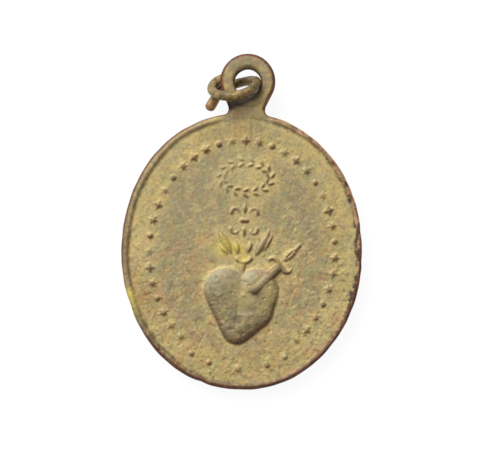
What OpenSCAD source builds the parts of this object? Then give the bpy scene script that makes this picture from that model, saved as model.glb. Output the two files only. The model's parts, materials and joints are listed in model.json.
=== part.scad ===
// Oval devotional medal with a struck emblem, an integral hanging eye and a bent wire jump ring.
// Lengths in mm. The medal lies on its back: +Z leaves the struck face, +Y points to the eye.

/* [Medal] */
// Width of the oval over the rim
medal_w = 24; // [22.5:0.1:25.5]
// Height of the oval over the rim, without neck and eye
medal_h = 27.6; // [26.5:0.1:30]
// Turn of the trimmed outline against the struck emblem, degrees
trim_turn = 1.75; // [0:0.25:3]
// Thickness of the plate between the two sunken fields
field_t = 1.1; // [0.9:0.05:1.4]
// Width of the raised rim
rim_w = 0.7; // [0.55:0.05:1]
// Height of the rim over the field, on both faces
rim_h = 0.4; // [0.25:0.05:0.5]
// Rounding of the rim edges
rim_round = 0.2; // [0.1:0.01:0.25]

/* [Eye and neck] */
// Outer diameter of the eye
eye_d = 5.5; // [5.2:0.05:5.8]
// Diameter of the hole in the eye
eye_hole_d = 2.8; // [2.6:0.05:3]
// Thickness of the eye
eye_t = 1.2; // [1:0.05:1.3]
// Rounding of the eye's limb
eye_round = 0.4; // [0.25:0.01:0.45]
// Height of the eye's centre over the top of the oval
eye_rise = 3.2; // [3.05:0.05:3.5]
// Width of the neck at its narrowest
neck_w = 3.64; // [3:0.02:4.2]
// Thickness of the neck
neck_t = 1; // [0.8:0.05:1.1]
// Radius of the hollow between neck and rim
neck_fillet = 0.55; // [0.3:0.05:0.9]

/* [Jump ring] */
// Diameter of the wire
wire_d = 0.92; // [0.8:0.02:0.96]
// Inside diameter of the ring
ring_id = 3.56; // [3.5:0.02:3.8]
// Play left between the ring and the limb of the eye
ring_play = 0.16; // [0.14:0.01:0.25]
// Play left between the two overlapping ends
end_play = 0.08; // [0.06:0.01:0.15]
// How far the ring's centre sits inside the middle of the limb
ring_seat = 0.66; // [0.55:0.01:0.68]
// How far the ring's centre sits beside the line from the eye's centre
ring_side = 0.2; // [0:0.02:0.25]
// Direction from the eye's centre to the ring's centre, degrees from +X
ring_turn = 191.5; // [150:0.5:194]
// Lean of the strand over the eye out of the vertical, degrees
front_lean = 32; // [20:1:33]
// Lean of the strand under the eye out of the vertical, degrees
back_lean = 17; // [10:1:18]
// How far the upper end laps round under the eye, degrees
lap_a = 62; // [50:1:64]
// Where the lower end leaves the circle, degrees
leave_a = 55; // [45:1:58]
// Bend of the lower end, degrees
stub_bend = 31; // [25:1:40]
// Radius of that bend, on the middle of the wire
stub_bend_r = 0.8; // [0.6:0.05:1]
// Straight length of the lower end
stub_len = 1.85; // [1.2:0.05:2]

/* [Emblem] */
// Height of the heart over the field
heart_h = 0.75; // [0.4:0.05:0.9]
// Radius of the heart's two lobes
lobe_r = 2.17; // [1.9:0.01:2.3]
// Length of the heart from the middle of the lobes to the middle of the tip
heart_len = 3.85; // [3.5:0.05:4.2]
// Height of the flame petals
petal_h = 0.34; // [0.2:0.02:0.45]
// Length of a wreath leaf
leaf_l = 0.86; // [0.7:0.02:1]
// Width of a wreath leaf
leaf_w = 0.36; // [0.25:0.01:0.45]
// Height of a wreath leaf
leaf_h = 0.2; // [0.12:0.01:0.3]
// Pairs of leaves in the wreath
leaf_pairs = 15; // [11:1:17]
// Thickness of the fleur-de-lis curls
curl_d = 0.34; // [0.24:0.02:0.4]

/* [Border] */
// Distance of the border marks from the outline, on their middle
mark_inset = 2.75; // [2.3:0.05:3]
// Pitch of the border marks
mark_pitch = 1.5; // [1.4:0.05:2]
// Diameter of a floret in the border
floret_d = 1.15; // [0.8:0.05:1.3]
// Width of a floret's petals
floret_w = 0.3; // [0.2:0.02:0.4]
// Height of the border marks
mark_h = 0.22; // [0.12:0.02:0.3]
// Diameter of a pellet
pellet_d = 0.56; // [0.3:0.02:0.6]
// Length left free on each side of the star
star_gap = 6.2; // [5.6:0.1:8]
// Distance of the star from the outline
star_inset = 2.1; // [1.8:0.05:2.6]
// Diameter of the star
star_d = 1.1; // [0.8:0.05:1.4]

/* [Hidden] */
$fn = 72;
half_w = medal_w / 2;
half_h = medal_h / 2;
end_r = half_w * half_w / half_h;
end_c = half_h - end_r;
rim_t = field_t + 2 * rim_h;
face_z = field_t / 2;
root = 0.15;
// Unit of the emblem's drawing: 1 mm on a medal of this height
u = medal_h / 27.6;

eye_y = half_h + eye_rise;
limb_w = (eye_d - eye_hole_d) / 2;
limb_r = (eye_d + eye_hole_d) / 4;

ring_r = (ring_id + wire_d) / 2;
ring_off = limb_r - ring_seat;
corner_u = ring_seat + limb_w / 2 - eye_round;
ring_reach = ring_id / 2 - eye_round - ring_play;
ring_rise = sqrt(max(0.01, ring_reach * ring_reach - corner_u * corner_u));
ring_lift = cos(front_lean) * ring_rise - eye_t / 2 + eye_round;
lean_gap = 2 * ring_r * sin(lap_a) * sin((front_lean - back_lean) / 2);
lap_tilt = asin((wire_d + end_play - lean_gap) / (ring_r * (1 + cos(lap_a))));
ring_amp = ring_r * norm([sin(lap_tilt) * sin(back_lean), cos(back_lean)]);
ring_low = ring_lift - ring_r * sin(lap_tilt) * sin(back_lean) - ring_amp - wire_d / 2;

place = [0, -(eye_rise + eye_d / 2) / 2, -ring_low];

// Rounded bar section, centred
module bar_section(w, h, r) {
    square([w - 2 * r, h], center = true);
    square([w, h - 2 * r], center = true);
    for (sx = [-1, 1], sy = [-1, 1]) {
        translate([sx * (w / 2 - r), sy * (h / 2 - r)])
            circle(r);
    }
}

// Turned section stretched to the oval, between two flat planes
module oval_body(t) {
    intersection() {
        scale([1, medal_h / medal_w, 1])
            rotate_extrude()
            children();
        cube([2 * medal_w, 2 * medal_h, t], center = true);
    }
}

// Plate between the fields, with the rim left standing all round
module oval() {
    rotate([0, 0, trim_turn])
        oval_body(field_t)
        translate([0, -field_t])
        square([half_w - rim_w / 2, 2 * field_t]);
    difference() {
        rotate([0, 0, trim_turn])
            oval_body(rim_t)
            translate([half_w - rim_w / 2, 0])
            bar_section(rim_w, rim_t + 0.04, rim_round);
        translate([-neck_w / 2 - 0.15, half_h - 2, -rim_t])
            cube([neck_w + 0.3, 4, 2 * rim_t]);
    }
}

// Neck outline from the oval up into the limb of the eye
module neck_outline() {
    w = neck_w / 2;
    y0 = half_h + 0.6;
    dy = y0 - eye_y;
    d = norm([w, dy]);
    r = eye_d / 2 - 0.05;
    a = atan2(dy, w) + acos(r / d);
    tx = r * cos(a);
    ty = eye_y + r * sin(a);
    base = half_h - 1.1;
    polygon([[-w, base], [w, base], [w, y0], [tx, ty], [0, eye_y], [-tx, ty], [-w, y0]]);
    for (s = [-1, 1])
        scale([s, 1])
        neck_hollow(w);
}

// Concave corner between the neck and the top arc
module neck_hollow(w) {
    f = neck_fillet;
    cx = w + f;
    cy = end_c + sqrt((end_r + f) * (end_r + f) - cx * cx);
    a = atan2(cy - end_c, cx);
    difference() {
        polygon([
            [w - 0.3, cy],
            [cx, cy],
            [end_r * cos(a), end_c + end_r * sin(a)],
            [(end_r - 0.6) * cos(a), end_c + (end_r - 0.6) * sin(a)],
            [w - 0.3, half_h - 1.1]
        ]);
        translate([cx - 0.02, cy - 0.02])
            circle(f);
    }
}

// Plate, rim, neck and eye as one blank
module blank() {
    difference() {
        union() {
            oval();
            translate([0, 0, -neck_t / 2])
                linear_extrude(neck_t)
                neck_outline();
            translate([0, eye_y, 0])
                rotate_extrude()
                translate([limb_r, 0])
                bar_section(limb_w, eye_t, eye_round);
        }
        translate([0, eye_y, -neck_t])
            cylinder(h = 2 * neck_t, d = eye_hole_d);
    }
}

// Pointed leaf lying along X, rooted under the field
module leaf(l, w, h) {
    q = l * l / (4 * w) + w / 4;
    d = q - w / 2;
    c = (l * l / 4 - h * h) / (2 * h);
    r = norm([q, c]);
    intersection() {
        translate([0, d, -c])
            sphere(r);
        translate([0, -d, -c])
            sphere(r);
        translate([-l, -w, -root])
            cube([2 * l, 2 * w, root + 2 * h]);
    }
}

// Leaf from one point of the field to another
module petal(p, q, w, h) {
    v = q - p;
    translate([(p.x + q.x) / 2, (p.y + q.y) / 2, 0])
        rotate([0, 0, atan2(v.y, v.x)])
        leaf(norm(v), w, h);
}

// Round bar with ball ends between two points in space
module rod(p, q, r1, r2) {
    v = q - p;
    translate(p)
        rotate([0, acos(v.z / norm(v)), atan2(v.y, v.x)])
        cylinder(h = norm(v), r1 = r1, r2 = r2);
    translate(p)
        sphere(r1 * 1.03);
    translate(q)
        sphere(r2 * 1.03);
}

// Round bar bent around a point of the field, with ball ends
module curl(p, r, a0, a1, d) {
    translate([p.x, p.y, 0]) {
        rotate([0, 0, a0])
            rotate_extrude(angle = a1 - a0)
            translate([r, 0])
            circle(d / 2);
        for (a = [a0, a1])
            translate([r * cos(a), r * sin(a), 0])
            sphere(d * 0.515);
    }
}

// Stack of discs that fills a low dome
module dome(r, h) {
    translate([0, 0, -root])
        cylinder(h = root, r = r, $fn = 48);
    for (a = [15 : 15 : 75])
        cylinder(h = h * sin(a), r = r * cos(a), $fn = 48);
    cylinder(h = h, r = r * 0.12, $fn = 48);
}

// Swollen heart: two lobes drawn down to one blunt tip, fuller on the side of the sword
module heart() {
    lobe_y = -3.9 * u;
    tip = [-0.25 * u, lobe_y - heart_len, 0];
    tip_r = lobe_r * 0.69;
    tip_h = heart_h * 0.8;
    hull() {
        translate([-1.47 * u, lobe_y, 0])
            dome(lobe_r, heart_h);
        translate(tip)
            dome(tip_r, tip_h);
    }
    hull() {
        translate([1.58 * u, lobe_y, 0])
            dome(lobe_r, heart_h);
        translate([1.42 * u, lobe_y - heart_len / 2, 0])
            dome(lobe_r * 0.85, heart_h * 0.95);
        translate(tip)
            dome(tip_r, tip_h);
    }
}

// Sword driven into the heart from the upper right
module sword() {
    rod([1.4 * u, -3.8 * u, heart_h - 0.25 * u], [3.65, -1.5, 0] * u, 0.45 * u, 0.4 * u);
    guard();
    for (k = [0 : 3]) {
        t = k / 3;
        translate([4.35 + 0.95 * t, -0.63 + 0.95 * t, 0] * u)
            sphere((0.22 + 0.13 * sin(180 * t)) * u);
    }
    rod([5.3, 0.32, 0.02] * u, [5.72, 0.8, 0.02] * u, 0.13 * u, 0.17 * u);
}

// Cross guard of the sword, curled one way at each end
module guard() {
    half = 0.66 * u;
    turn_r = 0.42 * u;
    translate([3.85, -1.225, 0] * u)
        rotate([0, 0, 127.3]) {
        rod([-half, 0, 0], [half, 0, 0], 0.2 * u, 0.2 * u);
        sphere(0.27 * u);
        for (a = [0, 180])
            rotate([0, 0, a])
            curl([half, turn_r], turn_r, -90, 38, 0.34 * u);
    }
}

// Flames over the heart with their cup and stem
module flames() {
    petal([-0.95, -0.35] * u, [-2.45, 2.15] * u, 0.9 * u, petal_h);
    petal([-1.3, -0.4] * u, [-2.3, 0.65] * u, 0.36 * u, petal_h * 0.7);
    petal([-0.35, -0.3] * u, [-0.72, 1.1] * u, 0.66 * u, petal_h * 0.8);
    petal([0.5, -0.2] * u, [0.95, 1.0] * u, 0.5 * u, petal_h * 0.8);
    petal([1.3, -0.5] * u, [2.72, 2.2] * u, 0.85 * u, petal_h);
    petal([2.15, 0.0] * u, [3.08, 1.95] * u, 0.38 * u, petal_h * 0.7);
    curl([0.15, -0.26] * u, 0.85 * u, 212, 335, 0.42 * u);
    rod([0.06, -1.3, -0.05] * u, [0.06, -2.1, 0] * u, 0.38 * u, 0.3 * u);
}

// Double fleur-de-lis: a band, a drop over and under it, and a hook at each corner
module fleur() {
    turn_r = 0.41 * u;
    translate([0.15, 3.1, 0] * u) {
        rod([-0.25, 0, 0.02] * u, [0.25, 0, 0.02] * u, 0.2 * u, 0.2 * u);
        petal([0, 0.62] * u, [0, 1.78] * u, 0.46 * u, petal_h * 0.8);
        petal([0, -0.62] * u, [0, -1.62] * u, 0.42 * u, petal_h * 0.8);
        for (s = [-1, 1]) {
            curl([s * 0.92, 0.8] * u, turn_r, 90 - s * 100, 90 + s * 75, curl_d);
            curl([s * 0.94, -0.9] * u, turn_r, 270 - s * 65, 270 + s * 95, curl_d);
        }
    }
}

// Oval wreath of paired leaves
module wreath() {
    half_x = 2.38 * u;
    half_y = 1.52 * u;
    for (k = [0 : leaf_pairs - 1]) {
        a = 360 * k / leaf_pairs;
        t = atan2(half_y * cos(a), -half_x * sin(a));
        translate([0.16 * u + half_x * cos(a), 7.4 * u + half_y * sin(a), 0])
            rotate([0, 0, t])
            for (s = [-1, 1])
            rotate([0, 0, s * 34])
            translate([leaf_l * 0.43, s * leaf_w / 6, 0])
            leaf(leaf_l, leaf_w, leaf_h);
    }
}

// Point at angle t on the oval drawn i inside the outline
function oval_at(t, i) = [(half_w - i) * cos(t), (half_h - i) * sin(t)];

// Direction that faces the outline there
function out_at(t, i) = atan2((half_w - i) * sin(t), (half_h - i) * cos(t));

// Ornament between field and rim: florets and pellets in turn, and a star at the foot
module border() {
    gap = star_gap / (half_w - mark_inset) * 180 / PI;
    run = PI * (half_w + half_h - 2 * mark_inset) - 2 * star_gap;
    n = floor(run / mark_pitch);
    for (i = [0 : n]) {
        t = -90 + gap + i * (360 - 2 * gap) / n;
        translate(oval_at(t, mark_inset))
            rotate([0, 0, out_at(t, mark_inset)])
            mark(i % 4);
    }
    translate([0, -half_h + star_inset, 0])
        for (b = [30, 90, 150])
        rotate([0, 0, b])
        leaf(star_d, star_d * 0.3, mark_h);
    for (s = [-1, 1], a = [17, 28])
        translate(oval_at(-90 + s * a, star_inset))
        sphere(pellet_d / 2);
}

// Floret of six petals, of four broader ones, or a pellet
module mark(kind) {
    if (kind == 3) {
        sphere(pellet_d / 2);
    } else {
        pairs = kind == 1 ? 2 : 3;
        broad = 3 / pairs;
        for (k = [1 : pairs])
            rotate([0, 0, 180 * k / pairs])
            leaf(floret_d, floret_w * broad, mark_h);
    }
}

module medal() {
    color("darkgoldenrod")
        translate(place) {
        blank();
        translate([0, 0, face_z]) {
            heart();
            sword();
            flames();
            fleur();
            wreath();
            border();
        }
    }
}

// Arc of wire about Z from a0 to a1 degrees
module wire_arc(r, a0, a1) {
    rotate([0, 0, a0])
        rotate_extrude(angle = a1 - a0)
        translate([r, 0])
        circle(wire_d / 2);
}

// Ball that rounds an end or a joint of the wire
module wire_ball() {
    sphere(wire_d * 0.51);
}

// Lower end: leaves the circle, bends aside and runs straight to a round tip
module stub() {
    rotate([0, 0, -leave_a])
        translate([ring_r, 0, -stub_bend_r])
        rotate([0, -90, 0]) {
        translate([stub_bend_r, 0, 0])
            wire_ball();
        wire_arc(stub_bend_r, 0, stub_bend);
        rotate([0, 0, stub_bend])
            translate([stub_bend_r, 0, 0]) {
            wire_ball();
            rotate([-90, 0, 0])
                cylinder(h = stub_len, d = wire_d);
            translate([0, stub_len, 0])
                wire_ball();
        }
    }
}

// Strand over the eye, lapping round under its limb
module front_strand() {
    rotate([90 - front_lean, 0, 0]) {
        wire_arc(ring_r, -lap_a, 180);
        rotate([0, 0, -lap_a])
            translate([ring_r, 0, 0])
            wire_ball();
        translate([-ring_r, 0, 0])
            wire_ball();
    }
}

// Strand under the eye, turned aside so that its end passes the lap
module back_strand() {
    rotate([90 - back_lean, 0, 0])
        translate([-ring_r, 0, 0])
        rotate([0, lap_tilt, 0])
        translate([ring_r, 0, 0]) {
        wire_arc(ring_r, 180, 360 - leave_a);
        stub();
    }
}

module jump_ring() {
    color("goldenrod")
        translate(place + [0, eye_y, ring_lift])
        rotate([0, 0, ring_turn])
        translate([ring_off, ring_side, 0]) {
        front_strand();
        back_strand();
    }
}

medal();
jump_ring();
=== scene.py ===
"""Dressed model of an oval devotional medal with its wire jump ring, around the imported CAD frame.

Sizes inside this script are in millimetres with the middle of the oval as origin and the medal's
mid-plane at z = 0; `to_row` turns them into the frame's metres.
"""
import json
from math import acos, asin, atan2, cos, hypot, pi, radians, sin, sqrt

import bmesh
import bpy
import numpy as np
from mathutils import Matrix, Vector
from mathutils.geometry import delaunay_2d_cdt
from mathutils.kdtree import KDTree


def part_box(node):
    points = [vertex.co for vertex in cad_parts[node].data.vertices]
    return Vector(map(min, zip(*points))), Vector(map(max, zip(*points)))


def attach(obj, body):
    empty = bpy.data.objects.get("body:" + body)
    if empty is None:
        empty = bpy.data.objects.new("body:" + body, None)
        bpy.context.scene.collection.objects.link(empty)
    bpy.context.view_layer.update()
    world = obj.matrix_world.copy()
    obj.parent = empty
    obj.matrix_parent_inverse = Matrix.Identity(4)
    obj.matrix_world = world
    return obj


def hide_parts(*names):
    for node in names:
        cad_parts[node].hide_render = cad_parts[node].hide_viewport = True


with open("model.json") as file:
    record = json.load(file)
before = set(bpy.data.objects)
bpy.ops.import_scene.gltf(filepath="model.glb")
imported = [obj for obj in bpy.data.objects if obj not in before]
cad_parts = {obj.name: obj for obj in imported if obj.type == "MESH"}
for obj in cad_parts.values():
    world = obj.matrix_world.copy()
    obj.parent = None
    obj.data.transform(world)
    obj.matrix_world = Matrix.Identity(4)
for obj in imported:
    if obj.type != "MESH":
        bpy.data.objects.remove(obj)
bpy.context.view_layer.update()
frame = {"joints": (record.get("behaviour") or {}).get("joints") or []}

# Driving dimensions, from the frame where it states them.
MM = 0.001
medal_lo, medal_hi = (np.array(c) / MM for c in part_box("medal"))
eye_row = np.array(frame["joints"][0]["pos_m"]) / MM

HALF_W = (medal_hi[0] - medal_lo[0]) / 2  # half width of the oval
HALF_H = 13.8                     # half height of the oval
OVAL_POWER = 2.06                 # a little fuller than an ellipse
TRIM_TURN = radians(1.75)         # turn of the outline against the emblem
FOOT_Y = -hypot(HALF_W * sin(TRIM_TURN), HALF_H * cos(TRIM_TURN))
ORIGIN = np.array([eye_row[0], medal_lo[1] - FOOT_Y, eye_row[2]])
EYE_Y = eye_row[1] - ORIGIN[1]    # eye's centre over the middle of the oval
EYE_R = medal_hi[1] - eye_row[1]
HOLE_R = 1.31
HOLE_DROP = 0.11                  # the hole is punched a little low
EYE_T = 1.2                       # thickness of the eye
EYE_ROUND = 0.44
NECK_W = 3.64                     # narrowest width of the neck
NECK_FILLET = 0.55
NECK_TOP = 0.6                    # upper end of its straight sides over the oval
NECK_Z = 0.5                      # half thickness of the neck
FIELD_Z = 0.55                    # half thickness of the plate
RIM_H = 0.4                       # rim over the field
RIM_WORN = 0.24                   # what wear has left of it on the struck face
RIM_LEFT, RIM_RIGHT = 0.78, 0.5   # the rim is struck off centre
EDGE_ROUND = 0.26                 # rounding of the rim's outer edge

HOLE_Y = EYE_Y - HOLE_DROP
LIMB_R = (EYE_R + HOLE_R) / 2
LIMB_HALF = (EYE_R - HOLE_R) / 2


def to_row(points):
    """Millimetres about the oval's middle to metres in the frame."""
    return (np.asarray(points, float) + ORIGIN) * MM


# Raster on which relief, wear, stains and painted light are worked out.
CELL = 0.04
X0, X1, Y0, Y1 = -12.6, 12.6, -14.4, 20.4
NX = int(round((X1 - X0) / CELL)) + 1
NY = int(round((Y1 - Y0) / CELL)) + 1
GX, GY = np.meshgrid(X0 + CELL * np.arange(NX), Y0 + CELL * np.arange(NY))
RNG = np.random.default_rng(20)


def blur(a, sigma):
    """Gaussian blur of a raster, sigma in millimetres, edges held."""
    pad = int(4 * sigma / CELL) + 1
    b = np.pad(a, pad, mode="edge")
    fy = np.fft.fftfreq(b.shape[0], CELL)[:, None]
    fx = np.fft.rfftfreq(b.shape[1], CELL)[None, :]
    g = np.exp(-2 * (pi * sigma) ** 2 * (fx ** 2 + fy ** 2))
    out = np.fft.irfft2(np.fft.rfft2(b) * g, b.shape)
    return out[pad:-pad, pad:-pad]


def noise(sigma):
    """Smooth random raster of unit deviation with grains about sigma millimetres wide."""
    n = blur(RNG.standard_normal((NY, NX)), sigma)
    return n / n.std()


def ramp(a, b, v):
    """Smooth rise from 0 where v is a to 1 where it is b."""
    t = np.clip((v - a) / (b - a), 0, 1)
    return t * t * (3 - 2 * t)


def sample(raster, x, y):
    """Bilinear value of a raster at points in millimetres."""
    u = np.clip((np.asarray(x) - X0) / CELL, 0, NX - 1.001)
    v = np.clip((np.asarray(y) - Y0) / CELL, 0, NY - 1.001)
    i, j = u.astype(int), v.astype(int)
    fu, fv = u - i, v - j
    top = raster[j, i] * (1 - fu) + raster[j, i + 1] * fu
    low = raster[j + 1, i] * (1 - fu) + raster[j + 1, i + 1] * fu
    return top * (1 - fv) + low * fv


def spot(x, y, size):
    """Round soft spot of unit height on the raster."""
    return np.exp(-((GX - x) ** 2 + (GY - y) ** 2) / (2 * size ** 2))


def spots(places):
    """Soft spots together, up to 1: x, y, size and, where it isn't 1, strength of each."""
    total = 0
    for x, y, size, *strength in places:
        total = total + spot(x, y, size) * (strength[0] if strength else 1)
    return np.clip(total, 0, 1)


def window(xs, ys, margin):
    """Slices of the raster round some points."""
    i0 = max(0, int((min(xs) - margin - X0) / CELL))
    i1 = min(NX, int((max(xs) + margin - X0) / CELL) + 2)
    j0 = max(0, int((min(ys) - margin - Y0) / CELL))
    j1 = min(NY, int((max(ys) + margin - Y0) / CELL) + 2)
    return slice(j0, j1), slice(i0, i1)


def stroke(raster, points, radii, heights, lifts=None):
    """Raises a domed bar along points, with a radius, a height and a lift at each of them."""
    lifts = lifts or [0] * len(points)
    for k in range(len(points) - 1):
        (px, py), (qx, qy) = points[k], points[k + 1]
        w = window((px, qx), (py, qy), max(radii[k:k + 2]))
        x, y = GX[w] - px, GY[w] - py
        dx, dy = qx - px, qy - py
        t = np.clip((x * dx + y * dy) / (dx * dx + dy * dy), 0, 1)
        r, h, lift = (v[k] + (v[k + 1] - v[k]) * t for v in (radii, heights, lifts))
        inside = 1 - ((x - t * dx) ** 2 + (y - t * dy) ** 2) / r ** 2
        top = np.where(inside > 0, lift + h * np.sqrt(np.maximum(0, inside)), 0)
        raster[w] = np.maximum(raster[w], top)


def dot(raster, p, radius, height):
    """Raises one dome."""
    stroke(raster, [p, (p[0] + 0.01, p[1])], [radius] * 2, [height] * 2)


def arc_points(c, r, a0, a1, n=12):
    """Points on an arc of a circle, angles in degrees."""
    a = np.radians(np.linspace(a0, a1, n))
    return [(c[0] + r * cos(k), c[1] + r * sin(k)) for k in a]


def leaf(raster, p, q, width, height):
    """Raises a pointed leaf between two points."""
    c = ((p[0] + q[0]) / 2, (p[1] + q[1]) / 2)
    length = hypot(q[0] - p[0], q[1] - p[1])
    ux, uy = (q[0] - p[0]) / length, (q[1] - p[1]) / length
    r = length ** 2 / (4 * width) + width / 4
    side = r - width / 2
    depth = (length ** 2 / 4 - height ** 2) / (2 * height)
    ball2 = r ** 2 + depth ** 2
    w = window((p[0], q[0]), (p[1], q[1]), width)
    x, y = GX[w] - c[0], GY[w] - c[1]
    along, across = x * ux + y * uy, np.abs(y * ux - x * uy)
    z = np.sqrt(np.maximum(0, ball2 - along ** 2 - (across + side) ** 2)) - depth
    raster[w] = np.maximum(raster[w], z)


# The struck emblem.
HEART_H = 0.75
PETAL_H = 0.34
LEAF_L, LEAF_W, LEAF_H = 0.86, 0.36, 0.2
LEAF_PAIRS = 15
CURL_R = 0.17                     # half thickness of the fleur-de-lis curls
MARK_INSET, MARK_PITCH, MARK_H = 2.75, 1.5, 0.22
FLORET_D, FLORET_W, PELLET_R = 1.15, 0.3, 0.28
STAR_GAP, STAR_INSET, STAR_D = 6.2, 2.1, 1.1
HEART_Y = -5.0                    # height of the heart's middle
# points, radii, heights and lifts of the blade, from the heart to the guard
BLADE = ([(1.4, -3.8), (3.65, -1.5)], [0.46, 0.42], [0.36, 0.4], [HEART_H - 0.14, 0])
GUARD_AT, GUARD_HALF, GUARD_CURL_R, GUARD_LEAN = (3.85, -1.225), 0.66, 0.42, radians(127.3)
GRIP_AT, GRIP_RUN, GRAINS = (4.35, -0.63), 0.95, 5
KNOB = [(5.3, 0.32), (5.72, 0.8)]
# root, tip, width and share of the full height of each petal
PETALS = (
    ((-0.95, -0.35), (-2.45, 2.15), 0.9, 1.0),
    ((-1.3, -0.4), (-2.3, 0.65), 0.36, 0.7),
    ((-0.35, -0.3), (-0.72, 1.1), 0.66, 0.8),
    ((0.5, -0.2), (0.95, 1.0), 0.5, 0.8),
    ((1.3, -0.5), (2.72, 2.2), 1.0, 0.85),
    ((2.15, 0.0), (3.08, 1.95), 0.38, 0.7),
)
CUP_AT, CUP_R, STEM = (0.2, -0.22), 0.82, [(0.06, -1.3), (0.06, -2.1)]
FLEUR_AT = (0.15, 3.1)
WREATH_AT, WREATH_A, WREATH_B = (0.16, 7.4), 2.38, 1.52


def heart(r):
    """Two lobes drawn down to one blunt tip, fuller on the side of the sword."""
    lobe_r, lobe_y, length = 2.17, -3.9, 3.85
    left = ((-1.47, lobe_y), lobe_r, HEART_H)
    right = ((1.58, lobe_y), lobe_r, HEART_H)
    belly = ((1.42, lobe_y - length / 2), lobe_r * 0.85, HEART_H * 0.95)
    tip = ((-0.25, lobe_y - length), lobe_r * 0.69, HEART_H * 0.8)
    for (p, ra, ha), (q, rb, hb) in ((left, tip), (right, tip), (right, belly), (belly, tip)):
        for t in np.linspace(0, 1, 40):
            c = (p[0] + (q[0] - p[0]) * t, p[1] + (q[1] - p[1]) * t)
            dot(r, c, ra + (rb - ra) * t, ha + (hb - ha) * t)


def sword(r):
    """Blade into the heart, curled guard, spindle grip and knob."""
    stroke(r, *BLADE)
    curl = arc_points((GUARD_HALF, GUARD_CURL_R), GUARD_CURL_R, -90, 38)
    path = [(-x, -y) for x, y in curl[::-1]] + curl
    c, s = cos(GUARD_LEAN), sin(GUARD_LEAN)
    guard = [(GUARD_AT[0] + x * c - y * s, GUARD_AT[1] + x * s + y * c) for x, y in path]
    thick = 0.08 + 0.13 * np.sin(np.linspace(0, pi, len(guard)))
    stroke(r, guard, list(thick), list(1.5 * thick))
    # paired grains of the grip, largest in the middle
    for k in range(GRAINS):
        t = k / (GRAINS - 1)
        spread = 0.08 + 0.1 * sin(pi * t)
        for side in (-1, 1):
            across = side * 0.7 * spread
            grain_at = (GRIP_AT[0] + GRIP_RUN * t + across, GRIP_AT[1] + GRIP_RUN * t - across)
            dot(r, grain_at, 0.09 + 0.55 * spread, 0.12 + 0.7 * spread)
    stroke(r, KNOB, [0.13, 0.17], [0.14, 0.19])


def flames(r):
    """Petals over the heart with their cup and stem."""
    for root, tip, width, share in PETALS:
        leaf(r, root, tip, width, PETAL_H * share)
    cup = arc_points(CUP_AT, CUP_R, 220, 326)
    stroke(r, cup, [0.19] * len(cup), [0.26] * len(cup))
    stroke(r, STEM, [0.38, 0.3], [0.17, 0.2])


def fleur(r):
    """Double fleur-de-lis: a band, a drop over and under it, and a hook at each corner."""
    cx, cy = FLEUR_AT
    hook_r, band_half, band_r, band_h, drop_h = 0.39, 0.25, 0.2, 0.19, PETAL_H * 0.65
    stroke(r, [(cx - band_half, cy), (cx + band_half, cy)], [band_r] * 2, [band_h] * 2)
    for near, far, width in ((0.62, 1.78, 0.46), (-0.62, -1.62, 0.42)):
        leaf(r, (cx, cy + near), (cx, cy + far), width, drop_h)
    for s in (-1, 1):
        up = arc_points((cx + s * 0.92, cy + 0.8), hook_r, 90 - s * 100, 90 + s * 75)
        down = arc_points((cx + s * 0.94, cy - 0.9), hook_r, 270 - s * 65, 270 + s * 95)
        for path in (up, down[::-1]):
            taper = CURL_R * np.linspace(1.0, 0.6, len(path))
            stroke(r, path, list(taper), list(0.8 * taper))


def wreath(r):
    """Oval of paired leaves."""
    (cx, cy), a, b = WREATH_AT, WREATH_A, WREATH_B
    splay, tuck = radians(34), 0.06
    for k in range(LEAF_PAIRS):
        t = 2 * pi * k / LEAF_PAIRS
        x, y = cx + a * cos(t), cy + b * sin(t)
        along = atan2(b * cos(t), -a * sin(t))
        grow = 1 + 0.12 * RNG.standard_normal()
        worn = 0.78 + 0.22 * cos(t + radians(40))    # least at the lower right
        for s in (-1, 1):
            d = along + s * splay
            u, n = (cos(d), sin(d)), (-sin(d), cos(d))
            x0, y0 = x - tuck * u[0] + s * tuck * n[0], y - tuck * u[1] + s * tuck * n[1]
            tip = (x0 + LEAF_L * u[0], y0 + LEAF_L * u[1])
            leaf(r, (x0, y0), tip, LEAF_W, LEAF_H * grow * worn)


def oval_at(t, inset):
    return (HALF_W - inset) * cos(t), (HALF_H - inset) * sin(t)


def border(r):
    """Florets and pellets in turn, with a star at the foot."""
    gap = STAR_GAP / (HALF_W - MARK_INSET)
    run = pi * (HALF_W + HALF_H - 2 * MARK_INSET) - 2 * STAR_GAP
    n = int(run / MARK_PITCH)

    def spoke(c, direction, length, width, height):
        d = (cos(direction) * length / 2, sin(direction) * length / 2)
        leaf(r, (c[0] - d[0], c[1] - d[1]), (c[0] + d[0], c[1] + d[1]), width, height)

    for i in range(n + 1):
        t = -pi / 2 + gap + i * (2 * pi - 2 * gap) / n
        c = oval_at(t, MARK_INSET)
        out = atan2((HALF_W - MARK_INSET) * sin(t), (HALF_H - MARK_INSET) * cos(t))
        h = MARK_H * (1 + 0.15 * RNG.standard_normal())
        if i % 4 == 3:
            dot(r, c, PELLET_R, h)
            continue
        pairs = 2 if i % 4 == 1 else 3
        for k in range(pairs):
            spoke(c, out + pi * (k + 1) / pairs, FLORET_D, FLORET_W * 3 / pairs, h)
    for k in range(3):
        spoke((0, -HALF_H + STAR_INSET), radians(30 + 60 * k), STAR_D, STAR_D * 0.3, MARK_H)
    for s in (-1, 1):
        for turn in (17, 28):
            dot(r, oval_at(-pi / 2 + s * radians(turn), STAR_INSET), PELLET_R, MARK_H)


emblem, heart_body, marks, pits = (np.zeros((NY, NX)) for _ in range(4))
for part in (sword, flames, fleur, wreath):
    part(emblem)
heart(heart_body)
border(marks)

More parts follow.
